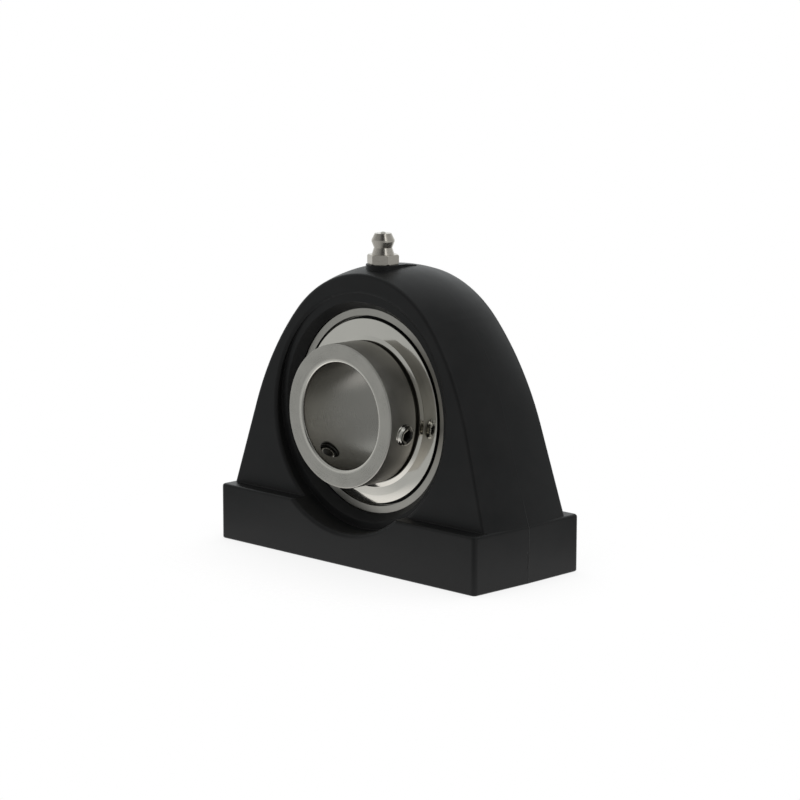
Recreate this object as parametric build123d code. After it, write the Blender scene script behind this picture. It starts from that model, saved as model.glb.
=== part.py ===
from build123d import *
import math
import os

# Pillow block bearing for a 30 mm shaft: a moulded housing with a tapped base and a
# wide-inner-ring insert bearing. Millimetres. X runs along the base, Y along the shaft
# with the set screws at -Y, and Z is up. The origin is the middle of the base's
# underside, straight below the bearing centre, and y = 0 is the mould's parting plane.

# Shaft and insert bearing
shaft_diameter = 30.0
shaft_height = 42.9            # bearing centre above the mounting face
insert_diameter = 62.0         # spherical outside diameter of the outer ring
outer_ring_width = 20.0
outer_edge_chamfer = 0.25
inner_ring_front = 22.4        # centre to the front face, on the set-screw side
inner_ring_rear = 15.9         # centre to the rear face
inner_bore_radius = 1.2        # rounding at both ends of the bore
inner_edge_chamfer = 0.15

# Balls and raceways
ball_diameter = 9.525
ball_count = 9
raceway_ratio = 0.52           # raceway radius over ball diameter
raceway_clearance = 0.02       # ball to the bottom of each raceway
outer_land_rise = 2.6          # outer ring's shoulders outside the pitch circle
inner_land_drop = 2.65         # inner ring's outside inside the pitch circle

# Lubrication groove and hole in the outer ring, in line with the nipple
nipple_offset = 5.0            # nipple axis in front of the parting plane
lube_groove_width = 2.6
lube_groove_depth = 0.8
lube_hole_diameter = 1.6

# Cage: two pressed ribbon halves and their rivets
cage_sheet = 0.7
cage_band_width = 2.8          # radial width of the ribbon
cage_pocket_clearance = 0.12
rivet_diameter = 1.5
rivet_head_diameter = 2.5
rivet_head_height = 0.5
rivet_clearance = 0.02

# Seals in the outer ring
seal_space = 0.8               # between the cage and the pocket's shelf
seal_pocket_step = 1.9         # pocket's wall outside the shoulders
seal_pocket_length = 2.3
seal_pocket_lip = 0.35         # undercut that holds the case
seal_case_sheet = 0.6
seal_case_reach = 5.0          # radial width of the case
seal_rubber_thickness = 1.1
seal_fit = 0.02
seal_lip_clearance = 0.08      # rubber lip to the inner ring
seal_lip_width = 0.5

# Flingers pressed on the inner ring
flinger_gap = 0.85             # rim to the bore of the outer ring's face
flinger_sheet = 0.45
flinger_rim_step = 0.4         # front of the rim beyond the outer ring's face
flinger_foot_step = 0.7        # front of the disc where the bead starts
flinger_bead_step = 1.5        # front of the bead
flinger_bead_rise = 1.25       # middle of the bead above the inner ring
flinger_bead_width = 0.7
flinger_seat_length = 1.1
flinger_fit = 0.01
flinger_groove_depth = 0.3     # narrow groove in the inner ring beside each flinger
flinger_groove_width = 0.5

# Set screws
screw_diameter = 6.0
screw_length = 5.5
screw_clearance = 0.05
screw_inset = 5.6              # screw axis behind the inner ring's front face
screw_proud = 1.25             # how far the socket end stands out of the ring
screw_angles = (-9.5, -129.5)  # degrees from +X towards +Z, seen from the front
hex_socket = 3.0
hex_socket_depth = 2.4
cup_diameter = 3.2
cup_depth = 0.5
point_chamfer = 0.8
socket_end_chamfer = 0.3

# Housing base
base_width = 42.6
base_height = 16.3
base_end_margin = 13.3         # tapped insert's axis to the end, at the parting plane
base_end_draft = 1.2           # degrees, each way from the parting plane
base_corner_radius = 1.3
base_top_radius = 0.8
base_bottom_chamfer = 0.3

# Housing arch, outlines at the parting plane
arch_rise = 41.0               # crown above the bearing centre
arch_top_radius = 37.6
arch_top_half_angle = 48.6     # degrees from the vertical to the end of the top arc
arch_foot_inset = 0.3          # flank inside the base's end, at the base's top
arch_side_radius = 61.5        # between the top arc and the straight flank
arch_foot_width = 33.2         # across the faces, at the base's top
arch_face_lean = 3.2           # degrees, faces closing in towards the crown
arch_crown_radius = 41.0       # roundness of the crown across its width
arch_flank_crown_radius = 120.0
arch_edge_radius = 1.0
arch_root_depth = 2.0          # how far the arch reaches into the base

# Seat and recesses in the housing
seat_clearance = 0.05          # radial, sphere in sphere
seat_margin = 0.35             # seat wider than the outer ring, each side
mouth_depth = 2.55             # conical mouth between the seat and the recess floor
mouth_margin = 0.3             # mouth outside the insert, at the recess floor
recess_margin = 2.5            # recess outside the insert, all round
recess_rim_radius = 1.2        # where the recess breaks out through a face
rim_crossing = 0.15            # arch's rim rounding starts this far inside the recess's wall
slot_clearance = 0.3           # loading slots, on the width of the outer ring

# Pad and nipple hole on the crown
pad_diameter = 9.7
pad_rise = 0.3                 # pad above the crown
pad_tail_length = 8.5          # straight sides behind the nipple axis
pad_tail_drop = 0.5
nipple_hole_spare = 0.6        # hole deeper than the shank
passage_diameter = 3.0

# Grease nipple
nipple_shank_diameter = 6.0
nipple_shank_length = 5.6
nipple_shank_chamfer = 0.6
nipple_shank_clearance = 0.02
nipple_hex = 7.9
nipple_hex_height = 2.75
nipple_hex_turn = 33.0         # degrees about the nipple's axis
nipple_hex_chamfer = 0.35
nipple_cone_diameter = 6.4
nipple_neck_diameter = 5.15
nipple_neck_height = 1.9       # above the hex, as are the next four
nipple_head_start = 3.6
nipple_head_end = 4.1
nipple_height = 5.95
nipple_head_diameter = 6.5
nipple_flat_diameter = 4.7
check_ball_diameter = 2.0
check_mouth_diameter = 1.7
check_bore_diameter = 2.4
check_fit = 0.02
feed_bore_diameter = 1.5
spring_wire = 0.3
spring_diameter = 1.8          # outside
spring_pitch = 0.8
spring_turns = 4.75
spring_gap = 0.05

# Tapped inserts in the base
insert_spacing = 76.2
insert_outer_diameter = 15.8
insert_length = 19.0
insert_thread_bore = 8.5
insert_thread_length = 16.0
insert_drill_cone = 2.4
insert_groove_depth = 0.9
insert_groove_width = 2.4
insert_groove_count = 2
insert_fit = 0.02
insert_mouth_chamfer = 0.8

# Working values of the bearing
ball_radius = ball_diameter / 2
pitch_radius = (shaft_diameter + insert_diameter) / 4
raceway_radius = raceway_ratio * ball_diameter
ring_half = outer_ring_width / 2
insert_radius = insert_diameter / 2
inner_radius = pitch_radius - inner_land_drop
cage_inner = pitch_radius - cage_band_width / 2
cage_outer = pitch_radius + cage_band_width / 2
outer_land = pitch_radius + outer_land_rise
seal_pocket = outer_land + seal_pocket_step
seal_pocket_start = ball_radius + cage_pocket_clearance + cage_sheet + seal_space
outer_face_bore = seal_pocket - seal_pocket_lip
screw_y = -inner_ring_front + screw_inset
screw_tip_radius = inner_radius + screw_proud - screw_length

# Working values of the housing and the nipple
seat_radius = insert_radius + seat_clearance
seat_half_width = ring_half + seat_margin
recess_floor = seat_half_width + mouth_depth
recess_radius = insert_radius + recess_margin
arch_height = shaft_height + arch_rise
base_length = insert_spacing + 2 * base_end_margin
arch_foot_half_length = base_length / 2 - arch_foot_inset
pad_height = arch_height + pad_rise
nipple_top = pad_height + nipple_hex_height + nipple_height
check_ball_z = nipple_top - math.sqrt(check_ball_diameter**2 - check_mouth_diameter**2) / 2
coil_radius = (spring_diameter - spring_wire) / 2
coil_height = spring_pitch * spring_turns
ball_to_wire = (check_ball_diameter + spring_wire) / 2 + spring_gap
coil_top = check_ball_z - math.sqrt(ball_to_wire**2 - coil_radius**2)
spring_seat_z = coil_top - coil_height - spring_wire / 2 - spring_gap
far = 200.0                    # longer than any piece, for cutting tools


def section(points):
    """Face in the axial plane of the bearing, from (along the shaft, radius) points."""
    return Plane.YZ * make_face(Polyline(*points, close=True))


def turned(face):
    """Solid of revolution about the shaft axis, with the bearing centre at the origin."""
    return revolve(face, Axis.Y)


def mirrored(part):
    """The same piece on the rear side of the bearing."""
    return mirror(part, Plane.XZ)


def at_centre(part):
    """Moves a piece modelled round the origin to the bearing centre."""
    return Pos(0, 0, shaft_height) * part


def radial(angle):
    """Place at the bearing centre whose Z points outwards at an angle in the XZ plane."""
    return Rot(0, 90 - angle, 0)


# ---------------------------------------------------------------- insert bearing

def outer_ring():
    blank = Plane.YZ * Pos(0, (outer_land + insert_radius) / 2) * Rectangle(
        outer_ring_width, insert_radius - outer_land)
    blank &= Plane.YZ * Circle(insert_radius)
    face_radius = math.sqrt(insert_radius**2 - ring_half**2)
    c = outer_edge_chamfer
    rim = section([(ring_half - c, face_radius + c), (ring_half + c, face_radius + c),
                   (ring_half + c, face_radius - 2 * c), (ring_half, face_radius - c)])
    pocket_end = seal_pocket_start + seal_pocket_length
    pocket = section([
        (seal_pocket_start, 0), (seal_pocket_start, seal_pocket), (pocket_end, seal_pocket),
        (pocket_end + seal_pocket_lip, outer_face_bore), (ring_half, outer_face_bore),
        (ring_half, 0)])
    raceway_centre = pitch_radius + ball_radius + raceway_clearance - raceway_radius
    raceway = Plane.YZ * Pos(0, raceway_centre) * Circle(raceway_radius)
    groove_bottom = insert_radius - lube_groove_depth
    groove = Plane.YZ * Pos(-nipple_offset, groove_bottom + insert_radius / 2) * Rectangle(
        lube_groove_width, insert_radius)
    cut = pocket + rim
    ring = turned(blank - cut - mirror(cut, Plane.XZ) - raceway - groove)
    hole = Pos(0, -nipple_offset, insert_radius / 2) * Cylinder(
        lube_hole_diameter / 2, insert_radius, align=(Align.CENTER, Align.CENTER, Align.MIN))
    return ring - hole


def inner_ring():
    bore = shaft_diameter / 2
    c = inner_edge_chamfer
    ring = section([
        (-inner_ring_front, bore), (-inner_ring_front, inner_radius - c),
        (-inner_ring_front + c, inner_radius), (inner_ring_rear - c, inner_radius),
        (inner_ring_rear, inner_radius - c), (inner_ring_rear, bore)])
    ring = fillet(ring.vertices().group_by(Axis.Z)[0], inner_bore_radius)
    raceway_centre = pitch_radius - ball_radius - raceway_clearance + raceway_radius
    ring -= Plane.YZ * Pos(0, raceway_centre) * Circle(raceway_radius)
    groove_y = ring_half + flinger_bead_step + flinger_groove_width / 2
    for side in (-1, 1):
        ring -= Plane.YZ * Pos(side * groove_y, inner_radius) * Rectangle(
            flinger_groove_width, 2 * flinger_groove_depth)
    solid = turned(ring)
    for angle in screw_angles:
        solid -= Pos(0, screw_y, 0) * radial(angle) * Cylinder(
            screw_diameter / 2, 2 * inner_radius, align=(Align.CENTER, Align.CENTER, Align.MIN))
    return solid


def round_pitch(shift, shape):
    """Copies of a shape round the pitch circle, shifted by a share of the ball spacing."""
    return [radial(90 + 360 * (i + shift) / ball_count) * Pos(0, 0, pitch_radius) * shape
            for i in range(ball_count)]


def cage_half():
    """Rear half: a flat ribbon with a part-spherical pocket over each ball."""
    pocket = ball_radius + cage_pocket_clearance
    reach = pocket + cage_sheet
    half = turned(section([
        (0, cage_inner), (0, cage_outer), (cage_sheet, cage_outer), (cage_sheet, cage_inner)]))
    band = turned(section([
        (0, cage_inner), (0, cage_outer), (reach, cage_outer), (reach, cage_inner)]))
    for dome in round_pitch(0, Sphere(reach)):
        half += band & dome
    rivet_hole = Rot(90, 0, 0) * Cylinder(rivet_diameter / 2 + rivet_clearance, 4 * cage_sheet)
    for tool in round_pitch(0, Sphere(pocket)) + round_pitch(0.5, rivet_hole):
        half -= tool
    return half


def cage_rivets():
    head = rivet_head_diameter / 2
    shank = rivet_diameter / 2
    top = cage_sheet + rivet_head_height
    profile = Plane.XZ * make_face(Polyline(
        (0, -top), (shank, -top), (head, -cage_sheet), (shank, -cage_sheet),
        (shank, cage_sheet), (head, cage_sheet), (shank, top), (0, top), close=True))
    return round_pitch(0.5, Rot(90, 0, 0) * revolve(profile, Axis.Z))


def seal_case():
    """Rear pressed steel ring, on the shelf of the outer ring's pocket."""
    start = seal_pocket_start + seal_fit
    outer = seal_pocket - seal_fit
    inner = outer - seal_case_reach
    flange_end = start + seal_case_sheet + seal_rubber_thickness
    return turned(section([
        (start, inner), (start, outer), (flange_end, outer),
        (flange_end, outer - seal_case_sheet), (start + seal_case_sheet, outer - seal_case_sheet),
        (start + seal_case_sheet, inner)]))


def seal_rubber():
    """Rear rubber, bonded to the outside of the case, with a lip on the inner ring."""
    start = seal_pocket_start + seal_fit + seal_case_sheet
    end = start + seal_rubber_thickness
    outer = seal_pocket - seal_fit - seal_case_sheet
    shoulder = seal_pocket - seal_fit - seal_case_reach
    lip = inner_radius + seal_lip_clearance
    return turned(section([
        (start, shoulder), (start, outer), (end, outer), (end, lip),
        (end - seal_lip_width, lip)]))


def flinger():
    """Rear flinger: a dished disc with a rolled bead, pressed on the inner ring."""
    rim = outer_face_bore - flinger_gap
    rim_face = ring_half + flinger_rim_step
    foot_face = ring_half + flinger_foot_step
    bead_face = ring_half + flinger_bead_step
    seat = inner_radius + flinger_fit
    bead = inner_radius + flinger_bead_rise
    w = flinger_bead_width / 2
    t = flinger_sheet
    rise = bead_face - foot_face
    return turned(section([
        (rim_face, rim), (foot_face, bead + w + rise / 2), (bead_face, bead + w / 2),
        (bead_face, bead - w), (foot_face + rise / 3, seat),
        (foot_face - flinger_seat_length, seat), (foot_face - flinger_seat_length, seat + t),
        (foot_face - t, bead), (rim_face - t, rim)]))


def set_screw():
    """Socket set screw along +Z with its cup point at the origin."""
    r = screw_diameter / 2 - screw_clearance
    cup = cup_diameter / 2
    profile = Plane.XZ * make_face(Polyline(
        (0, cup_depth), (cup, 0), (r - point_chamfer, 0), (r, point_chamfer),
        (r, screw_length - socket_end_chamfer), (r - socket_end_chamfer, screw_length),
        (0, screw_length), close=True))
    socket = Pos(0, 0, screw_length - hex_socket_depth) * extrude(
        RegularPolygon(hex_socket / 2, 6, major_radius=False), hex_socket_depth)
    return revolve(profile, Axis.Z) - socket


def placed_screw(angle):
    return Pos(0, screw_y, 0) * radial(angle) * Pos(0, 0, screw_tip_radius) * set_screw()


# ---------------------------------------------------------------- housing

def flank_angle():
    """Slope of the flank's outward normal, where it leaves the side arc for the foot."""
    tilt = math.radians(arch_top_half_angle)
    shift = arch_top_radius - arch_side_radius
    across = arch_foot_half_length - shift * math.sin(tilt)
    down = base_height - (arch_height - arch_top_radius) - shift * math.cos(tilt)
    return math.atan2(across, down) - math.acos(arch_side_radius / math.hypot(across, down))


def arch_outline(y):
    """Outline of the arch at a distance y from the parting plane."""
    crown_drop = y * y / (2 * arch_crown_radius)
    flank_drop = y * y / (2 * arch_flank_crown_radius)
    top_r = arch_top_radius - crown_drop
    top_c = (0, arch_height - arch_top_radius)
    foot = arch_foot_half_length - flank_drop
    a1 = math.radians(arch_top_half_angle)
    a2 = flank_angle()
    n1 = (math.sin(a1), math.cos(a1))
    n2 = (math.sin(a2), math.cos(a2))
    between = n1[0] * n2[0] + n1[1] * n2[1]
    reach = n2[0] * foot + n2[1] * (base_height - top_c[1])
    side_r = (reach - between * top_r) / (1 - between)
    side_c = (n1[0] * (top_r - side_r), top_c[1] + n1[1] * (top_r - side_r))

    def on_arc(centre, radius, angle, side):
        return (side * (centre[0] + radius * math.sin(angle)), centre[1] + radius * math.cos(angle))

    root = base_height - arch_root_depth
    edges = [Line((-foot, root), (foot, root))]
    for side in (1, -1):
        foot_top = (side * foot, base_height)
        flank_end = on_arc(side_c, side_r, a2, side)
        side_end = on_arc(side_c, side_r, a1, side)
        side_middle = on_arc(side_c, side_r, (a1 + a2) / 2, side)
        edges += [Line((side * foot, root), foot_top), Line(foot_top, flank_end),
                  ThreePointArc(flank_end, side_middle, side_end)]
    shoulder = on_arc(side_c, side_r, a1, 1)
    edges.append(ThreePointArc(shoulder, (0, top_c[1] + top_r), (-shoulder[0], shoulder[1])))
    return Plane.XZ.offset(-y) * make_face(edges)


def arch():
    """Arch with a crowned surface between two faces that lean towards each other."""
    foot = arch_foot_width / 2
    overlap = 1.0
    reach = foot + overlap
    body = loft([arch_outline(y) for y in (-reach, -reach / 2, 0, reach / 2, reach)])
    lean = math.tan(math.radians(arch_face_lean))
    root = foot + arch_root_depth * lean
    top_z = arch_height + overlap
    top = foot - (top_z - base_height) * lean
    root_z = base_height - arch_root_depth
    wedge = Plane.YZ * make_face(Polyline(
        (-root, root_z), (root, root_z), (top, top_z), (-top, top_z), close=True))
    body &= extrude(wedge, far, both=True)
    faces = body.faces().sort_by(Axis.Y)
    rims = [edge for face in (faces[0], faces[-1]) for edge in face.edges()
            if edge.center().Z > base_height]
    return fillet(rims, arch_edge_radius)


def base():
    """Solid base whose ends are drafted both ways from the parting plane."""
    half_length, half_width = base_length / 2, base_width / 2
    inset = half_width * math.tan(math.radians(base_end_draft))
    outline = make_face(Polyline(
        (half_length, 0), (half_length - inset, half_width), (-half_length + inset, half_width),
        (-half_length, 0), (-half_length + inset, -half_width), (half_length - inset, -half_width),
        close=True))
    block = extrude(outline, base_height)
    corners = [e for e in block.edges().filter_by(Axis.Z) if abs(e.center().Y) > half_width / 2]
    block = fillet(corners, base_corner_radius)
    block = fillet(block.faces().sort_by(Axis.Z)[-1].edges(), base_top_radius)
    return chamfer(block.faces().sort_by(Axis.Z)[0].edges(), base_bottom_chamfer)


def pad():
    """Flat pad under the nipple, running back into the crown."""
    r = pad_diameter / 2
    bottom = shaft_height + insert_radius
    disc = Pos(0, -nipple_offset, bottom) * Cylinder(
        r, pad_height - bottom, align=(Align.CENTER, Align.CENTER, Align.MIN))
    tail = Plane.YZ * make_face(Polyline(
        (-nipple_offset, bottom), (-nipple_offset, pad_height),
        (-nipple_offset + pad_tail_length / 2, pad_height),
        (-nipple_offset + pad_tail_length, pad_height - pad_tail_drop),
        (-nipple_offset + pad_tail_length, bottom), close=True))
    return disc + extrude(tail, r, both=True)


def seat_cut():
    """Spherical seat, conical mouths and recesses whose rims are rounded at the base's faces."""
    mouth_start = math.sqrt(seat_radius**2 - seat_half_width**2)
    front = base_width / 2
    rim_start = (front - recess_rim_radius, recess_radius)
    rim_end = (front, recess_radius + recess_rim_radius)
    sag = recess_rim_radius * (1 - math.sqrt(0.5))
    outline = Polyline(
        rim_start, (recess_floor, recess_radius), (recess_floor, insert_radius + mouth_margin),
        (seat_half_width, mouth_start), (0, mouth_start), (0, 0), (far, 0), (far, rim_end[1]),
        rim_end)
    rim = ThreePointArc(rim_end, (front - sag, recess_radius + sag), rim_start)
    tool = turned(Plane.YZ * make_face(outline.edges() + [rim]))
    return Sphere(seat_radius) + tool + mirrored(tool)


def face_flare():
    """Rounds the recess's rim where it breaks out through the arch's rear face."""
    lean = math.radians(arch_face_lean)
    face = arch_foot_width / 2 - (shaft_height - base_height) * math.tan(lean)
    r = recess_rim_radius
    wall = recess_radius - rim_crossing
    sag = r * (1 - math.sqrt(0.5))
    rim = ThreePointArc((0, wall + r), (-sag, wall + sag), (-r, wall))
    outline = Polyline((-r, wall), (-r, wall - r), (r, wall - r), (r, wall + r), (0, wall + r))
    ring = Pos(0, face, 0) * Rot(arch_face_lean, 0, 0) * turned(
        Plane.YZ * make_face(outline.edges() + [rim]))
    above_base = Pos(0, recess_floor, base_height - shaft_height) * Box(
        far, far, far, align=(Align.CENTER, Align.MIN, Align.MIN))
    return ring & above_base


def loading_slots():
    """Two slots at the rear through which the insert goes in edgewise."""
    width = outer_ring_width + slot_clearance
    depth = far / 2
    box = Box(2 * seat_radius, depth, width, align=(Align.CENTER, Align.MIN, Align.CENTER))
    rounded = Rot(-90, 0, 0) * Cylinder(
        seat_radius, depth, align=(Align.CENTER, Align.CENTER, Align.MIN))
    return box & rounded


def nipple_hole():
    hole = Pos(0, -nipple_offset, pad_height) * Cylinder(
        nipple_shank_diameter / 2, nipple_shank_length + nipple_hole_spare,
        align=(Align.CENTER, Align.CENTER, Align.MAX))
    passage = Pos(0, -nipple_offset, shaft_height) * Cylinder(
        passage_diameter / 2, pad_height - shaft_height,
        align=(Align.CENTER, Align.CENTER, Align.MIN))
    return hole + passage


def insert_body(extra):
    """Tapped insert's outside, standing on z = 0, larger by extra for its cavity."""
    r = insert_outer_diameter / 2 + extra
    body = Cylinder(r, insert_length + extra, align=(Align.CENTER, Align.CENTER, Align.MIN))
    for i in range(insert_groove_count):
        z = insert_length * (i + 1) / (insert_groove_count + 1)
        ring = Cylinder(2 * r, insert_groove_width - 2 * extra)
        ring -= Cylinder(r - insert_groove_depth, insert_groove_width)
        body -= Pos(0, 0, z) * ring
    return body


def base_insert(side):
    body = insert_body(0)
    bore = Cylinder(insert_thread_bore / 2, insert_thread_length,
                    align=(Align.CENTER, Align.CENTER, Align.MIN))
    tip = Pos(0, 0, insert_thread_length) * Cone(
        insert_thread_bore / 2, 0, insert_drill_cone,
        align=(Align.CENTER, Align.CENTER, Align.MIN))
    mouth = Cone(insert_thread_bore / 2 + insert_mouth_chamfer, insert_thread_bore / 2,
                 insert_mouth_chamfer, align=(Align.CENTER, Align.CENTER, Align.MIN))
    return Pos(side * insert_spacing / 2, 0, 0) * (body - bore - tip - mouth)


def housing():
    body = base() + arch() + pad()
    body -= at_centre(seat_cut() + face_flare() + mirrored(face_flare()))
    body -= at_centre(loading_slots())
    body -= nipple_hole()
    for side in (-1, 1):
        body -= Pos(side * insert_spacing / 2, 0, 0) * insert_body(insert_fit)
    return body


# ---------------------------------------------------------------- grease nipple

def on_nipple_axis(part):
    return Pos(0, -nipple_offset, 0) * part


def grease_nipple_body():
    shank = nipple_shank_diameter / 2 - nipple_shank_clearance
    profile = Plane.XZ * make_face(Polyline(
        (0, -nipple_shank_length), (shank - nipple_shank_chamfer, -nipple_shank_length),
        (shank, -nipple_shank_length + nipple_shank_chamfer), (shank, nipple_hex_height / 2),
        (nipple_cone_diameter / 2, nipple_hex_height / 2),
        (nipple_cone_diameter / 2, nipple_hex_height),
        (nipple_neck_diameter / 2, nipple_hex_height + nipple_neck_height),
        (nipple_head_diameter / 2, nipple_hex_height + nipple_head_start),
        (nipple_head_diameter / 2, nipple_hex_height + nipple_head_end),
        (nipple_flat_diameter / 2, nipple_hex_height + nipple_height),
        (0, nipple_hex_height + nipple_height), close=True))
    hexagon = Rot(0, 0, nipple_hex_turn) * extrude(
        RegularPolygon(nipple_hex / 2, 6, major_radius=False), nipple_hex_height)
    across = nipple_hex / math.cos(math.radians(30)) / 2
    crown = Cylinder(across, nipple_hex_height, align=(Align.CENTER, Align.CENTER, Align.MIN))
    hexagon &= chamfer(crown.edges().filter_by(GeomType.CIRCLE), nipple_hex_chamfer)
    solid = Pos(0, 0, pad_height) * (revolve(profile, Axis.Z) + hexagon)
    upright = (Align.CENTER, Align.CENTER, Align.MIN)
    bore = Pos(0, 0, spring_seat_z) * Cylinder(
        check_bore_diameter / 2, check_ball_z - spring_seat_z, align=upright)
    feed = Cylinder(feed_bore_diameter / 2, spring_seat_z, align=upright)
    mouth = Pos(0, 0, check_ball_z) * Cylinder(
        check_mouth_diameter / 2 + check_fit, nipple_top, align=upright)
    seat = Pos(0, 0, check_ball_z) * Sphere(check_ball_diameter / 2 + check_fit)
    return on_nipple_axis(solid - bore - feed - mouth - seat)


def nipple_check_ball():
    return on_nipple_axis(Pos(0, 0, check_ball_z) * Sphere(check_ball_diameter / 2))


def nipple_spring():
    path = Helix(spring_pitch, coil_height, coil_radius)
    wire = Plane(path @ 0, z_dir=path % 0) * Circle(spring_wire / 2)
    return on_nipple_axis(Pos(0, 0, coil_top - coil_height) * sweep(wire, path))


def build():
    nodes = {
        "housing": housing(),
        "base_insert_left": base_insert(-1),
        "base_insert_right": base_insert(1),
        "grease_nipple_body": grease_nipple_body(),
        "nipple_check_ball": nipple_check_ball(),
        "nipple_spring": nipple_spring(),
        "outer_ring": at_centre(outer_ring()),
        "inner_ring": at_centre(inner_ring()),
        "cage_rear": at_centre(cage_half()),
        "cage_front": at_centre(mirrored(cage_half())),
        "cage_rivets": Compound(children=[at_centre(rivet) for rivet in cage_rivets()]),
        "seal_case_front": at_centre(mirrored(seal_case())),
        "seal_case_rear": at_centre(seal_case()),
        "seal_front": at_centre(mirrored(seal_rubber())),
        "seal_rear": at_centre(seal_rubber()),
        "flinger_front": at_centre(mirrored(flinger())),
        "flinger_rear": at_centre(flinger()),
    }
    for i, ball in enumerate(round_pitch(0, Sphere(ball_radius)), 1):
        nodes[f"ball_{i}"] = at_centre(ball)
    for i, angle in enumerate(screw_angles, 1):
        nodes[f"set_screw_{i}"] = at_centre(placed_screw(angle))
    return nodes


os.makedirs("parts", exist_ok=True)
for name, part in build().items():
    export_step(part, f"parts/{name}.step")
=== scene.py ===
import math
import bmesh
import bpy
from mathutils import Matrix, Vector


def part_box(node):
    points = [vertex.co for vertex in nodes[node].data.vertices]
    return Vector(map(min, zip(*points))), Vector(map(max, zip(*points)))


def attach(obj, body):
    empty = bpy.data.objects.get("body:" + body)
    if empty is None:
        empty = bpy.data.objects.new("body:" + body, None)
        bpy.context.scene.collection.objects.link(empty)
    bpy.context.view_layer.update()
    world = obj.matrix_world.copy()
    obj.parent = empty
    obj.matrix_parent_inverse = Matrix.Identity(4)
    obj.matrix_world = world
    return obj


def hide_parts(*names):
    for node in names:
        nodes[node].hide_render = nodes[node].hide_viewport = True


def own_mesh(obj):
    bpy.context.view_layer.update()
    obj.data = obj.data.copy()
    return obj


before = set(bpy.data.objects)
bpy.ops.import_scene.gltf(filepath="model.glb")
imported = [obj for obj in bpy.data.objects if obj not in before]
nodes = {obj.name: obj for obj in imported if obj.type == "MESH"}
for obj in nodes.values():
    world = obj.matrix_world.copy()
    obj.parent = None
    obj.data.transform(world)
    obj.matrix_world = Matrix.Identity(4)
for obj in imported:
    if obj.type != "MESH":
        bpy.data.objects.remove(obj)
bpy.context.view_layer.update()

MM = 0.001


# ---------------------------------------------------------------- sizes
# In mm and degrees. Places along the shaft are negative in front of the bearing's centre.

CENTRE = Vector((0, 0, 42.9 * MM))          # of the bearing, in metres

BORE_RADIUS = 15.0                          # of the inner ring
BORE_ROUNDING = 1.2
RING_RADIUS = 20.35
RING_FRONT = -22.4
RING_REAR = 15.9
GROOVE_RADIUS = 19.6                        # bottom of the grooves that the flingers sit in
GROOVE_NEAR = 9.5                           # ends of that bottom, from the bearing's centre
GROOVE_FAR = 12.45
GROOVE_SLOPE = 0.1                          # how far the groove's walls lean
RACE_RADIUS = 4.953                         # of the raceway's arc
RACE_MIDDLE = 23.17                         # middle of that arc, from the shaft's axis
RACE_HALF_ANGLE = 55.3

SCREW_ANGLES = {"1": -9.5, "2": -129.5}     # from +X towards +Z
SCREW_Y = -16.8
SCREW_TIP = 16.1                            # its cup point, from the shaft's axis
SCREW_LENGTH = 5.5
SCREW_PITCH = 1.0
HOLE_RADIUS = 3.0
HOLE_ENDS = (12.0, 24.0)                    # of the cylinder that cuts it, from the shaft's axis
HOLE_WALL = (3.02, 3.06)                    # radii between which the thread's shading ends
HOLE_SIDE = (0, 1)                          # heights over the shaft's axis where it begins
THREAD_RADIUS = 2.95
THREAD_DEPTH = 0.55
THREAD_MIDDLE = 0.4                         # of the groove between two crests, in turns
THREAD_FLANK = 0.42                         # width of each of the groove's flanks, in turns
TIP_RADIUS = 2.15                           # where the chamfers meet the screw's two ends
HEAD_RADIUS = 2.45
CUP = [(0.5, 0.05), (0.02, 1.6), (0.0, 2.1)]    # height and radius, from its middle outwards
SOCKET_ACROSS = 3.0                         # the hexagon's flats
SOCKET_DEPTH = 2.4
SOCKET_CONE = 0.5                           # how much deeper its middle is
SOCKET_EDGE = 0.08                          # chamfer round it
SOCKET_LAND = 2.4                           # outer radius of the flat round it

SPRING_WIRE = 0.15                          # radius of the wire of the nipple's spring
SPRING_COIL = 0.75                          # radius of its coil, to the wire's middle
SPRING_PITCH = 0.8
SPRING_TURNS = 4.75

# (along the shaft, radius, rounding of the corner)
FLINGER_SECTION = [
    (9.6, 19.65, 0), (10.5, 19.65, 0.15), (11.15, 20.1, 0.3), (11.1, 20.5, 0.2),
    (10.72, 21.6, 0.4), (10.57, 24.0, 6.0), (10.33, 26.29, 0.12), (9.97, 26.29, 0.12),
    (10.15, 22.9, 0.6), (10.3, 21.6, 0.3), (10.3, 20.5, 0.3), (9.6, 20.2, 0.1)]


# ---------------------------------------------------------------- node trees

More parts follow.
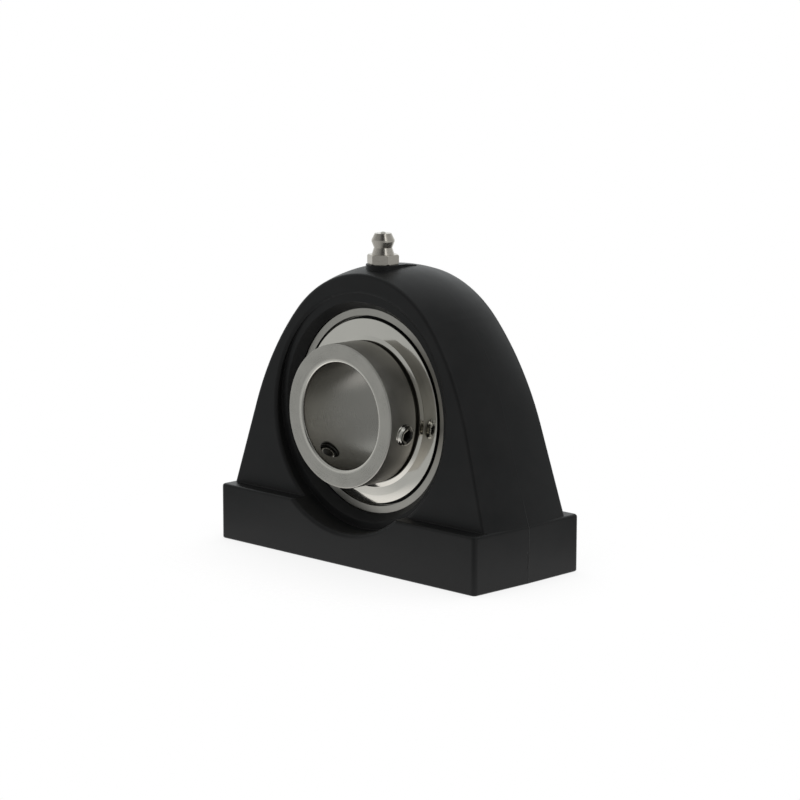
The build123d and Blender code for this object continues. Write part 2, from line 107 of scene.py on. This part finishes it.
class Nodes:
    """A node tree with short calls that add, fill and join its nodes."""

    def __init__(self, tree):
        self.tree = tree
        tree.nodes.clear()

    def add(self, kind, **settings):
        node = self.tree.nodes.new(kind)
        for key, value in settings.items():
            setattr(node, key, value)
        return node

    def put(self, target, value):
        if isinstance(value, bpy.types.NodeSocket):
            self.tree.links.new(value, target)
        else:
            target.default_value = value

    def fill(self, node, *values):
        """Puts values into the node's first sockets and gives its first result."""
        for socket, value in zip(node.inputs, values):
            self.put(socket, value)
        return node.outputs[0]

    def math(self, operation, *values):
        return self.fill(self.add("ShaderNodeMath", operation=operation), *values)

    def total(self, first, *rest):
        for value in rest:
            first = self.math("ADD", first, value)
        return first

    def product(self, first, *rest):
        for value in rest:
            first = self.math("MULTIPLY", first, value)
        return first

    def length(self, a, b):
        return self.math("SQRT", self.total(self.product(a, a), self.product(b, b)))

    def vector(self, x, y, z):
        return self.fill(self.add("ShaderNodeCombineXYZ"), x, y, z)

    def spread(self, value, low, high, start=0.0, end=1.0, smooth=False):
        """Low to high as the value goes from start to end."""
        kind = "SMOOTHSTEP" if smooth else "LINEAR"
        node = self.add("ShaderNodeMapRange", interpolation_type=kind)
        return self.fill(node, value, start, end, low, high)

    def blend(self, share, a, b):
        node = self.add("ShaderNodeMix", data_type="RGBA")
        self.put(node.inputs[0], share)
        self.put(node.inputs[6], a)
        self.put(node.inputs[7], b)
        return node.outputs[2]


class Surface(Nodes):
    """A material with one principled shader."""

    def __init__(self, name):
        self.material = bpy.data.materials.new(name)
        self.material.use_nodes = True
        super().__init__(self.material.node_tree)
        self.shader = self.add("ShaderNodeBsdfPrincipled")
        out = self.add("ShaderNodeOutputMaterial")
        self.put(out.inputs["Surface"], self.shader.outputs["BSDF"])

    def place(self):
        return self.add("ShaderNodeTexCoord").outputs["Object"]

    def parts(self, vector):
        node = self.add("ShaderNodeSeparateXYZ")
        self.put(node.inputs[0], vector)
        return node.outputs

    def noise(self, vector, scale, detail, roughness):
        node = self.add("ShaderNodeTexNoise")
        self.put(node.inputs["Vector"], vector)
        self.put(node.inputs["Scale"], scale)
        self.put(node.inputs["Detail"], detail)
        self.put(node.inputs["Roughness"], roughness)
        return node.outputs["Fac"]

    def above(self, value, zone):
        """Zero below a zone in mm and one above it."""
        start, end = zone
        return self.spread(value, 0.0, 1.0, start * MM, end * MM)

    def below(self, value, zone, smooth=False):
        """One below a zone in mm and zero above it."""
        start, end = zone
        return self.spread(value, 1.0, 0.0, start * MM, end * MM, smooth)

    def edge(self, radius):
        """Normal that rounds the piece's sharp edges, with a radius in mm."""
        node = self.add("ShaderNodeBevel", samples=6)
        self.put(node.inputs["Radius"], radius * MM)
        return node.outputs["Normal"]

    def bump(self, height, depth, normal):
        """Normal roughened by a height of so many mm."""
        node = self.add("ShaderNodeBump")
        self.put(node.inputs["Height"], height)
        self.put(node.inputs["Distance"], depth * MM)
        self.put(node.inputs["Normal"], normal)
        return node.outputs["Normal"]

    def finish(self, colour, rough, normal, **plain):
        """Joins the shader's inputs, sets its uniform numbers and gives the material."""
        self.put(self.shader.inputs["Base Color"], colour)
        self.put(self.shader.inputs["Roughness"], rough)
        self.put(self.shader.inputs["Normal"], normal)
        for key, value in plain.items():
            self.shader.inputs[key.replace("_", " ")].default_value = value
        return self.material


# ---------------------------------------------------------------- materials

MIDDLE = (0.3, 0.7)                         # where most of a noise's values lie
WIDE_MIDDLE = (0.25, 0.75)


def grey(value, warm=0.0):
    """Colour from an sRGB level 0 to 255, a little warmer or cooler."""
    def linear(level):
        level /= 255
        return level / 12.92 if level <= 0.04045 else ((level + 0.055) / 1.055) ** 2.4
    return (linear(value + warm), linear(value), linear(value - warm), 1.0)


def steel(level, green=0.965, blue=0.885):
    """Stainless steel's slightly warm tint at a linear level."""
    return (level, level * green, level * blue, 1.0)


PLASTIC = 19                                # sRGB level
PLASTIC_CLOUD = 5                           # how far its colour strays either way
PLASTIC_ROUGH = (0.34, 0.46)
SEAM_WIDTH = (0.04, 0.22)                   # the mould's parting line, either side of its middle
SEAM_FADE = (16, 24)                        # heights between which it fades
SEAM_LEFT = 0.1                             # what is left of it above them
SEAM_LIGHTER = 12                           # sRGB levels over the plastic's
SEAM_STRENGTH = 0.5
SCAR_END = (50.0, 50.5)                     # a short gate mark beside it on the base's ends: a small dent, darkened with painted shade
SCAR_BOTTOM = (4.3, 4.7)
SCAR_TOP = (8.6, 9.0)
SCAR_Y = -0.38
SCAR_WIDTH = (0.18, 0.3)
# sRGB level and share of the painted shade on the gate mark
SCAR_SHADE_LEVEL = 4
SCAR_SHADE_STRENGTH = 0.9


def housing_plastic():
    """Black moulded plastic: fine mould texture, cloudy gloss, the mould's parting line and a
    gate mark with painted shade.
    """
    t = Surface("moulded_plastic")
    place = t.place()
    x, y, z = t.parts(place)
    grain = t.noise(place, scale=2600, detail=4, roughness=0.6)
    cloud = t.noise(place, scale=70, detail=4, roughness=0.55)
    stretched = t.vector(t.product(x, 0.25), y, z)
    streak = t.noise(stretched, scale=260, detail=3, roughness=0.6)
    mix = t.total(t.product(cloud, 0.7), t.product(streak, 0.3))

    start, end = SEAM_FADE
    line = t.product(t.below(t.math("ABSOLUTE", y), SEAM_WIDTH, smooth=True),
                     t.spread(z, 1.0, SEAM_LEFT, start * MM, end * MM))
    beside = t.math("ABSOLUTE", t.total(y, -SCAR_Y * MM))
    scar_and_shade = t.product(t.above(t.math("ABSOLUTE", x), SCAR_END), t.above(z, SCAR_BOTTOM),
                     t.below(z, SCAR_TOP), t.below(beside, SCAR_WIDTH))

    colour = t.blend(t.spread(mix, 0.0, 1.0, *MIDDLE), grey(PLASTIC - PLASTIC_CLOUD, -0.5),
                     grey(PLASTIC + PLASTIC_CLOUD))
    colour = t.blend(t.product(line, SEAM_STRENGTH), colour, grey(PLASTIC + SEAM_LIGHTER))
    # painted shade: the gate mark darkened to a near-black level
    colour = t.blend(t.product(scar_and_shade, SCAR_SHADE_STRENGTH), colour, grey(SCAR_SHADE_LEVEL))
    normal = t.bump(grain, 0.006, t.edge(0.35))
    normal = t.bump(cloud, 0.05, normal)
    normal = t.bump(t.math("SUBTRACT", line, scar_and_shade), 0.1, normal)
    return t.finish(colour, t.spread(mix, *PLASTIC_ROUGH, *MIDDLE), normal,
                    Specular_IOR_Level=0.24)


# the inner ring's surface in zones, whose looks change between two places along the shaft or
# between two radii; the grooves and bore get painted shade, the bore's front edge a painted
# highlight
BEHIND_FACE = (-22.3, -22.1)
BARREL = (20.2, 20.3)                       # what lies outside this, behind the face
INSIDE_FRONT = (-22.1, -21.9)
INSIDE_REAR = (15.4, 15.6)
SUNK = (20.15, 20.28)                       # what lies inside this, between those two: the grooves, darkened with painted shade
BORE = (15.03, 15.2)
RIM_REAR = (-22.35, -20.9)                  # the bore's rounded front edge, lightened with a painted highlight
RIM = (15.6, 16.3)
SUNK_SHADE_STEEL = steel(0.14)
BORE_SHADE_STEEL = steel(0.34)
RIM_HIGHLIGHT_STEEL = steel(0.85)
BARREL_ROUGHER = 0.14
RIM_SMOOTHER = -0.1


def turned_metal(name, low, high, rough, lines, depth, edge=0.06, tapped=False):
    """Metal ground or turned about the shaft's axis, with fine lines round it.

    The tapped one is the inner ring's, with screw holes, painted shade in its bore and grooves
    and a painted highlight on its rim.
    """
    t = Surface(name)
    place = t.place()
    x, y, height = t.parts(place)
    z = t.math("SUBTRACT", height, CENTRE.z)
    r = t.length(x, z)
    streak = t.noise(t.vector(t.product(t.total(r, y), lines),
                              t.product(t.math("DIVIDE", x, r), 3.0),
                              t.product(t.math("DIVIDE", z, r), 3.0)),
                     scale=1.0, detail=4, roughness=0.65)
    cloud = t.noise(place, scale=160, detail=3, roughness=0.55)
    both = t.total(t.product(streak, 0.6), t.product(cloud, 0.4))
    colour = t.blend(t.spread(both, 0.0, 1.0, *WIDE_MIDDLE), low, high)
    gloss = t.spread(both, *rough, *MIDDLE)
    normal = t.bump(streak, depth, t.edge(edge))
    if tapped:
        barrel = t.product(t.above(y, BEHIND_FACE), t.above(r, BARREL))
        sunk_shade = t.product(t.above(y, INSIDE_FRONT), t.below(y, INSIDE_REAR), t.below(r, SUNK))
        rim = t.product(t.below(y, RIM_REAR), t.below(r, RIM))
        gloss = t.total(gloss, t.product(barrel, BARREL_ROUGHER), t.product(rim, RIM_SMOOTHER))
        # painted highlight on the bore's rounded front edge
        colour = t.blend(rim, colour, RIM_HIGHLIGHT_STEEL)
        # painted shade in the grooves beside the flingers
        colour = t.blend(sunk_shade, colour, SUNK_SHADE_STEEL)
        # painted shade: the bore darker than the ring's outside
        colour = t.blend(t.below(r, BORE), colour, BORE_SHADE_STEEL)
        normal = t.bump(hole_threads(t, x, y, z), 0.4, normal)
    return t.finish(colour, gloss, normal, Metallic=1.0)


def hole_threads(t, x, y, z):
    """Turns of thread on the walls of the two set screws' holes."""
    turns = []
    for angle in SCREW_ANGLES.values():
        c, s = math.cos(math.radians(angle)), math.sin(math.radians(angle))
        along = t.total(t.product(x, c), t.product(z, s))
        beside = t.math("SUBTRACT", t.product(z, c), t.product(x, s))
        off = t.length(beside, t.math("SUBTRACT", y, SCREW_Y * MM))
        wave = t.math("SINE", t.product(along, 2 * math.pi / (SCREW_PITCH * MM)))
        turns.append(t.product(t.below(off, HOLE_WALL), t.above(along, HOLE_SIDE), wave))
    return t.total(*turns)


def plain_metal(name, low, high, rough, edge=0.08):
    t = Surface(name)
    place = t.place()
    cloud = t.noise(place, scale=500, detail=4, roughness=0.6)
    fine = t.noise(place, scale=3000, detail=3, roughness=0.6)
    return t.finish(t.blend(cloud, low, high), t.spread(cloud, *rough, *MIDDLE),
                    t.bump(fine, 0.002, t.edge(edge)), Metallic=1.0)


def rubber(name):
    t = Surface(name)
    place = t.place()
    cloud = t.noise(place, scale=300, detail=4, roughness=0.6)
    fine = t.noise(place, scale=4000, detail=3, roughness=0.6)
    return t.finish(t.blend(cloud, grey(14), grey(22)), t.spread(cloud, 0.55, 0.75),
                    t.bump(fine, 0.01, t.edge(0.1)), Specular_IOR_Level=0.35)


GRINDING = {"lines": 26000, "depth": 0.0006}
POLISHING = {"lines": 9000, "depth": 0.00005}
ground = turned_metal("ground_steel", steel(0.36), steel(0.56), rough=(0.24, 0.34), tapped=True,
                      **GRINDING)
ring_face = turned_metal("ring_steel", steel(0.37), steel(0.51), rough=(0.26, 0.36), **GRINDING)
polished = turned_metal("polished_steel", steel(0.7), steel(0.74), rough=(0.07, 0.12), edge=0.03,
                        **POLISHING)
pressed = plain_metal("pressed_steel", steel(0.4), steel(0.5), rough=(0.28, 0.4))
ball_metal = plain_metal("ball_steel", steel(0.62), steel(0.68), rough=(0.05, 0.08))
screw_metal = plain_metal("screw_steel", steel(0.5), steel(0.62), rough=(0.1, 0.18), edge=0.02)
# painted shade: near-black steel inside the screws' hexagon sockets and on their cup points
socket_shade_metal = plain_metal("socket_painted_shade", steel(0.05), steel(0.09), rough=(0.3, 0.45))
nickel = plain_metal("nipple_nickel", steel(0.57, green=0.93, blue=0.83),
                     steel(0.67, green=0.93, blue=0.83), rough=(0.2, 0.28), edge=0.06)
spring_metal = plain_metal("spring_steel", steel(0.4), steel(0.5), rough=(0.2, 0.3))
brass = plain_metal("turned_brass", (0.62, 0.42, 0.16, 1), (0.72, 0.5, 0.22, 1),
                    rough=(0.25, 0.38))
black_rubber = rubber("black_rubber")

# the first beginning that fits a node's name gives its material
OUTFITS = [("housing", housing_plastic()), ("inner_ring", ground), ("outer_ring", ring_face),
           ("flinger", polished), ("seal_case", pressed), ("seal", black_rubber),
           ("ball", ball_metal), ("cage", pressed), ("set_screw", screw_metal),
           ("base_insert", brass), ("grease_nipple_body", nickel),
           ("nipple_check_ball", ball_metal), ("nipple_spring", spring_metal)]
for name, node in nodes.items():
    material = next(outfit for start, outfit in OUTFITS if name.startswith(start))
    for slot in node.material_slots:
        slot.material = material


# ---------------------------------------------------------------- shapes

def circle(steps):
    """Cosine and sine at equal steps round a circle."""
    angles = [2 * math.pi * i / steps for i in range(steps)]
    return [(math.cos(a), math.sin(a)) for a in angles]


def skin(rows, closed=False):
    """Points and faces over rows of points: closed into a ring, or with both ends capped."""
    count, size = len(rows), len(rows[0])
    points = [point for row in rows for point in row]
    faces = []
    for k in range(count if closed else count - 1):
        here, there = k * size, (k + 1) % count * size
        for i in range(size):
            j = (i + 1) % size
            faces.append((here + i, here + j, there + j, there + i))
    if not closed:
        faces.append(tuple(range(size))[::-1])
        faces.append(tuple(range((count - 1) * size, count * size)))
    return points, faces


def solid(name, rows, closed=False):
    """Object with a closed mesh over rows of points."""
    points, faces = skin(rows, closed)
    mesh = bpy.data.meshes.new(name)
    mesh.from_pydata(points, [], faces)
    shape = bmesh.new()
    shape.from_mesh(mesh)
    bmesh.ops.recalc_face_normals(shape, faces=shape.faces)
    shape.to_mesh(mesh)
    shape.free()
    ob = bpy.data.objects.new(name, mesh)
    bpy.context.scene.collection.objects.link(ob)
    return ob


def cut(ob, tools):
    """Takes the tools' shapes out of the object's mesh and removes the tools."""
    for tool in tools:
        modifier = ob.modifiers.new("cut", "BOOLEAN")
        modifier.operation = "DIFFERENCE"
        modifier.solver = "EXACT"
        modifier.object = tool
    bpy.context.view_layer.update()
    made = ob.evaluated_get(bpy.context.evaluated_depsgraph_get())
    mesh = bpy.data.meshes.new_from_object(made)
    ob.modifiers.clear()
    ob.data = mesh
    for tool in tools:
        bpy.data.objects.remove(tool)


def dress(ob, materials, body, node, sharp=35):
    """Gives a new piece its materials and its place in the frame, instead of the node."""
    ob.data.shade_smooth()
    ob.data.set_sharp_from_angle(angle=math.radians(sharp))
    ob.data.materials.clear()
    for material in materials:
        ob.data.materials.append(material)
    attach(ob, body)
    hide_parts(node)


def soft(points, steps=6):
    """Closed section with rounded corners, from (along, radius, rounding) points."""
    out = []
    for i, (along, radius, rounding) in enumerate(points):
        corner = Vector((along, radius))
        if rounding == 0:
            out.append(corner)
            continue
        before = Vector(points[i - 1][:2]) - corner
        after = Vector(points[(i + 1) % len(points)][:2]) - corner
        reach = min(rounding / math.tan(before.angle(after) / 2),
                    0.49 * before.length, 0.49 * after.length)
        start = corner + before.normalized() * reach
        end = corner + after.normalized() * reach
        for k in range(steps + 1):
            t = k / steps
            out.append(start * (1 - t) ** 2 + corner * (2 * t * (1 - t)) + end * t * t)
    return out


def lathe(name, section, side=1, steps=192):
    """Section turned about the shaft's axis. A side of -1 turns it to the front."""
    rows = [[(p.y * c * MM, side * p.x * MM, CENTRE.z + p.y * s * MM) for p in section]
            for c, s in circle(steps)]
    return solid(name, rows, closed=True)


# ---------------------------------------------------------------- flingers and inner ring

for end, side in (("front", -1), ("rear", 1)):
    disc = lathe(f"flinger_{end}_disc", soft(FLINGER_SECTION), side)
    dress(disc, [polished], "inner", f"flinger_{end}")


def ring_section(race_steps=24):
    """The inner ring's section, from the bore's front edge over the outside and back."""
    # points 1 mm apart, so that the faces that the screws' holes cut aren't long
    barrel = [(-21.5 + k, RING_RADIUS, 0) for k in range(8)]
    bore = [(12.0 - k, BORE_RADIUS, 0) for k in range(32)]
    groove = [(-GROOVE_FAR - GROOVE_SLOPE, RING_RADIUS, 0.3), (-GROOVE_FAR, GROOVE_RADIUS, 0.05),
              (-GROOVE_NEAR, GROOVE_RADIUS, 0), (-GROOVE_NEAR + GROOVE_SLOPE, RING_RADIUS, 0)]
    rear_groove = [(-along, radius, rounding) for along, radius, rounding in groove[::-1]]
    raceway = []
    for k in range(race_steps + 1):
        a = math.radians(-RACE_HALF_ANGLE + 2 * RACE_HALF_ANGLE * k / race_steps)
        raceway.append((RACE_RADIUS * math.sin(a), RACE_MIDDLE - RACE_RADIUS * math.cos(a), 0))
    return soft([(RING_FRONT, BORE_RADIUS, BORE_ROUNDING), (RING_FRONT, RING_RADIUS, 0.45),
                 *barrel, *groove, *raceway, *rear_groove, (RING_REAR, RING_RADIUS, 0.15),
                 (RING_REAR, BORE_RADIUS, BORE_ROUNDING), *bore])


def screw_row(label, height, radii):
    """Row of points round a set screw's axis, at a height above the shaft's axis."""
    a = math.radians(SCREW_ANGLES[label])
    along = Vector((math.cos(a), 0, math.sin(a)))
    across = Vector((-math.sin(a), 0, math.cos(a)))
    foot = CENTRE + Vector((0, SCREW_Y * MM, 0))
    return [foot + (along * height + across * radius * c + Vector((0, radius * s, 0))) * MM
            for radius, (c, s) in zip(radii, circle(len(radii)))]


def screw_hole(label, steps=72):
    """Cylinder that cuts a set screw's hole."""
    rows = [screw_row(label, height, [HOLE_RADIUS] * steps) for height in HOLE_ENDS]
    return solid(f"hole_{label}", rows)


ring = lathe("inner_ring_turned", ring_section())
cut(ring, [screw_hole(label) for label in SCREW_ANGLES])
dress(ring, [ground], "inner", "inner_ring")


# ---------------------------------------------------------------- set screws

def thread_row(z, steps):
    """Radii of the rolled thread at a height over the screw's tip, with both ends chamfered."""
    row = []
    for i in range(steps):
        turn = (z / SCREW_PITCH - i / steps) % 1
        groove = THREAD_DEPTH * max(0, 1 - abs(turn - THREAD_MIDDLE) / THREAD_FLANK)
        row.append(min(THREAD_RADIUS - groove, TIP_RADIUS + z, HEAD_RADIUS + SCREW_LENGTH - z))
    return row


def set_screw(label, steps=72, thread_rows=88, margin=0.05):
    """Socket set screw with a rolled thread, a hexagon socket and a cup point."""
    top = SCREW_LENGTH
    cup = [(z, [radius] * steps) for z, radius in CUP]
    thread = []
    for k in range(thread_rows + 1):
        z = margin + (top - 2 * margin) * k / thread_rows
        thread.append((z, thread_row(z, steps)))
    land = [(top, [SOCKET_LAND] * steps)]
    hexagon = [SOCKET_ACROSS / 2 / math.cos(math.radians((i * 360 / steps) % 60 - 30))
               for i in range(steps)]
    socket = [(top, [radius + SOCKET_EDGE for radius in hexagon]), (top - SOCKET_EDGE, hexagon),
              (top - SOCKET_DEPTH, hexagon), (top - SOCKET_DEPTH - SOCKET_CONE, [0.05] * steps)]
    rows = cup + thread + land + socket
    ob = solid(f"set_screw_{label}_threaded",
               [screw_row(label, SCREW_TIP + z, radii) for z, radii in rows])
    dress(ob, [screw_metal, socket_shade_metal], f"screw_{label}", f"set_screw_{label}",
          sharp=50)
    cup_end = (len(cup) - 1) * steps
    socket_start = (len(rows) - len(socket)) * steps
    # the cup's and the socket's faces get the painted shade
    for face in ob.data.polygons:
        if max(face.vertices) < cup_end or min(face.vertices) >= socket_start:
            face.material_index = 1


for label in SCREW_ANGLES:
    set_screw(label)


# ---------------------------------------------------------------- the nipple's spring

def nipple_coil(steps_per_turn=40, sides=16):
    """Wire spring under the check ball."""
    low, high = (Vector(corner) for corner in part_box("nipple_spring"))
    axis = (low + high) / 2
    bottom = Vector((axis.x, axis.y, low.z + SPRING_WIRE * MM))
    climb = math.atan2(SPRING_PITCH, 2 * math.pi * SPRING_COIL)
    rows = []
    for k in range(round(SPRING_TURNS * steps_per_turn) + 1):
        a = 2 * math.pi * k / steps_per_turn
        out = Vector((math.cos(a), math.sin(a), 0))
        along = Vector((-math.sin(a), math.cos(a), 0))
        up = Vector((0, 0, math.cos(climb))) - along * math.sin(climb)
        rise = Vector((0, 0, SPRING_PITCH * k / steps_per_turn))
        middle = bottom + (out * SPRING_COIL + rise) * MM
        rows.append([middle + (out * c + up * s) * SPRING_WIRE * MM for c, s in circle(sides)])
    ob = solid("nipple_coil", rows)
    dress(ob, [spring_metal], "housing", "nipple_spring", sharp=50)
    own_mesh(ob)


nipple_coil()


# ---------------------------------------------------------------- floor, light and camera
# Lengths are in mm, or in metres where MM stands beside them.

CAMERA_AZIMUTH = math.radians(44.587)       # from -Y towards +X
CAMERA_ELEVATION = math.radians(9.979)
CAMERA_ROLL = math.radians(0.098)
CAMERA_TARGET = Vector((1.826, 0, 45.02)) * MM
CAMERA_DISTANCE = 766.9 * MM
CAMERA_REACH = (50 * MM, 50000 * MM)        # nearest and farthest that it sees
SENSOR = 36.0
FOCAL_SHARE = 2700.5 / 800                  # focal length over the sensor's width

TO_CAMERA = Vector((math.sin(CAMERA_AZIMUTH), -math.cos(CAMERA_AZIMUTH), 0))    # level
TO_RIGHT = Vector((math.cos(CAMERA_AZIMUTH), math.sin(CAMERA_AZIMUTH), 0))

# brightness of the studio round the object, low down and higher up: degrees from the camera to
# its right, and level
STUDIO_LOW = [(-180, 1.0), (-150, 0.72), (-120, 0.52), (-90, 0.5), (-50, 0.4), (-26, 0.33),
              (-12, 0.27), (0, 0.25), (12, 0.3), (27, 0.62), (38, 0.62), (48, 0.46), (90, 0.42),
              (120, 0.45), (150, 0.8), (180, 1.0)]
STUDIO_HIGH = [(-180, 1.0), (-150, 0.8), (-120, 0.45), (-90, 0.3), (-60, 0.26), (-40, 0.2),
               (-18, 0.04), (0, 0.02), (18, 0.05), (25, 0.5), (29, 1.6), (37, 1.6), (43, 0.45),
               (90, 0.38), (120, 0.45), (150, 0.8), (180, 1.0)]
STUDIO_PEAK = 2.0                           # level that a ramp's white stands for
OVERHEAD = 0.55                             # level straight above
RAISED = (0.25, 0.45)                       # low turns into high, by the direction's z
OVERHEAD_FROM = (0.75, 0.95)
STUDIO_TINT = (0.98, 1.01, 1.015, 1)
AMBIENT = 0.75                              # light on the object from all round

FLOOR_HALF = 500
FLOOR_DROP = 0.02                           # below the object's underside
FLOOR_STRETCH = (0.8, 1.25, 1)
FLOOR_FADE = (50, 95)                       # distances between which it fades out
FLOOR_COLOUR = (0.97, 0.97, 0.97, 1)
FLOOR_GLOW = 0.8                            # share of it that shows white, whatever its light
SOFTBOX_PLACE = Vector((-100, 200, 1100)) * MM
SOFTBOX_TARGET = Vector((0, 0, 30)) * MM
SOFTBOX_SIZE = 1000
SOFTBOX_POWER = 6.0                         # watts
WHITE = (1, 1, 1, 1)


class Stage(Nodes):
    """Node tree of the floor or of the studio."""

    def dot(self, vector, direction):
        node = self.add("ShaderNodeVectorMath", operation="DOT_PRODUCT")
        self.put(node.inputs[0], vector)
        self.put(node.inputs[1], direction)
        return node.outputs["Value"]

    def mix(self, share, a, b):
        return self.fill(self.add("ShaderNodeMixShader"), share, a, b)

    def between(self, share, a, b):
        return self.total(self.product(a, self.math("SUBTRACT", 1.0, share)),
                          self.product(share, b))

    def ring(self, share, levels):
        """Level at a share of the way round, from (degrees, level) pairs."""
        node = self.add("ShaderNodeValToRGB")
        stops = node.color_ramp.elements
        stops[0].position, stops[1].position = 0.0, 1.0
        for angle, level in levels[1:-1]:
            stops.new(angle / 360 + 0.5)
        for stop, (angle, level) in zip(stops, levels):
            stop.color = (*[level / STUDIO_PEAK] * 3, 1)
        return self.product(self.fill(node, share), STUDIO_PEAK)

    def seen(self):
        """One for the rays that show this surface: camera, glossy and transmission rays."""
        path = self.add("ShaderNodeLightPath").outputs
        return self.math("MAXIMUM", self.math("MAXIMUM", path["Is Camera Ray"],
                                              path["Is Glossy Ray"]),
                         path["Is Transmission Ray"])


def floor():
    """Pale floor round the object that fades out into the white backdrop."""
    half = FLOOR_HALF * MM
    mesh = bpy.data.meshes.new("floor")
    mesh.from_pydata([(-half, -half, 0), (half, -half, 0), (half, half, 0), (-half, half, 0)],
                     [], [(0, 1, 2, 3)])
    ob = bpy.data.objects.new("floor", mesh)
    bpy.context.scene.collection.objects.link(ob)
    ob.location.z = -FLOOR_DROP * MM
    material = bpy.data.materials.new("studio_floor")
    material.use_nodes = True
    t = Stage(material.node_tree)
    diffuse = t.fill(t.add("ShaderNodeBsdfDiffuse"), FLOOR_COLOUR)
    glow = t.fill(t.add("ShaderNodeEmission"), WHITE)
    plain = t.mix(t.product(t.seen(), FLOOR_GLOW), diffuse, glow)
    place = t.add("ShaderNodeTexCoord").outputs["Object"]
    stretched = t.fill(t.add("ShaderNodeVectorMath", operation="MULTIPLY"), place, FLOOR_STRETCH)
    length = t.add("ShaderNodeVectorMath", operation="LENGTH")
    t.put(length.inputs[0], stretched)
    start, end = FLOOR_FADE
    fade = t.spread(length.outputs["Value"], 0.0, 1.0, start * MM, end * MM, smooth=True)
    clear = t.add("ShaderNodeBsdfTransparent").outputs[0]
    out = t.add("ShaderNodeOutputMaterial")
    t.put(out.inputs["Surface"], t.mix(fade, plain, clear))
    mesh.materials.append(material)


def studio():
    """World that the metal reflects, white to the camera, with an even light on the rest."""
    world = bpy.data.worlds.new("studio")
    bpy.context.scene.world = world
    world.use_nodes = True
    t = Stage(world.node_tree)
    way = t.add("ShaderNodeTexCoord").outputs["Generated"]
    camera_ray = t.add("ShaderNodeLightPath").outputs["Is Camera Ray"]
    angle = t.math("ARCTAN2", t.dot(way, TO_RIGHT), t.dot(way, TO_CAMERA))
    share = t.math("MULTIPLY_ADD", angle, 0.5 / math.pi, 0.5)
    height = t.dot(way, (0, 0, 1))
    level = t.between(t.spread(height, 0.0, 1.0, *RAISED, smooth=True),
                      t.ring(share, STUDIO_LOW), t.ring(share, STUDIO_HIGH))
    level = t.between(t.spread(height, 0.0, 1.0, *OVERHEAD_FROM, smooth=True), level, OVERHEAD)
    backdrop = t.fill(t.add("ShaderNodeBackground"), t.blend(camera_ray, STUDIO_TINT, WHITE),
                      t.math("MAXIMUM", level, camera_ray))
    lit = t.fill(t.add("ShaderNodeBackground"), WHITE, AMBIENT)
    out = t.add("ShaderNodeOutputWorld")
    t.put(out.inputs["Surface"], t.mix(t.seen(), lit, backdrop))


def softbox():
    """Square lamp above, which isn't seen in the metal."""
    data = bpy.data.lights.new("top_softbox", "AREA")
    data.shape = "RECTANGLE"
    data.size = data.size_y = SOFTBOX_SIZE * MM
    data.energy = SOFTBOX_POWER
    ob = bpy.data.objects.new("top_softbox", data)
    bpy.context.scene.collection.objects.link(ob)
    ob.location = SOFTBOX_PLACE
    ob.rotation_euler = (SOFTBOX_TARGET - SOFTBOX_PLACE).to_track_quat("-Z", "Y").to_euler()
    ob.visible_glossy = False


def camera():
    """Camera at the view that the studio is set round."""
    data = bpy.data.cameras.new("camera")
    data.sensor_width = SENSOR
    data.lens = FOCAL_SHARE * SENSOR
    data.clip_start, data.clip_end = CAMERA_REACH
    ob = bpy.data.objects.new("camera", data)
    bpy.context.scene.collection.objects.link(ob)
    back = TO_CAMERA * math.cos(CAMERA_ELEVATION) + Vector((0, 0, math.sin(CAMERA_ELEVATION)))
    turn = Matrix((TO_RIGHT, back.cross(TO_RIGHT), back)).transposed()
    roll = Matrix.Rotation(CAMERA_ROLL, 3, "Z")
    ob.matrix_world = (Matrix.Translation(CAMERA_TARGET + back * CAMERA_DISTANCE)
                       @ (turn @ roll).to_4x4())
    bpy.context.scene.camera = ob


floor()
studio()
softbox()
camera()
scene = bpy.context.scene
scene.view_settings.view_transform = "Standard"
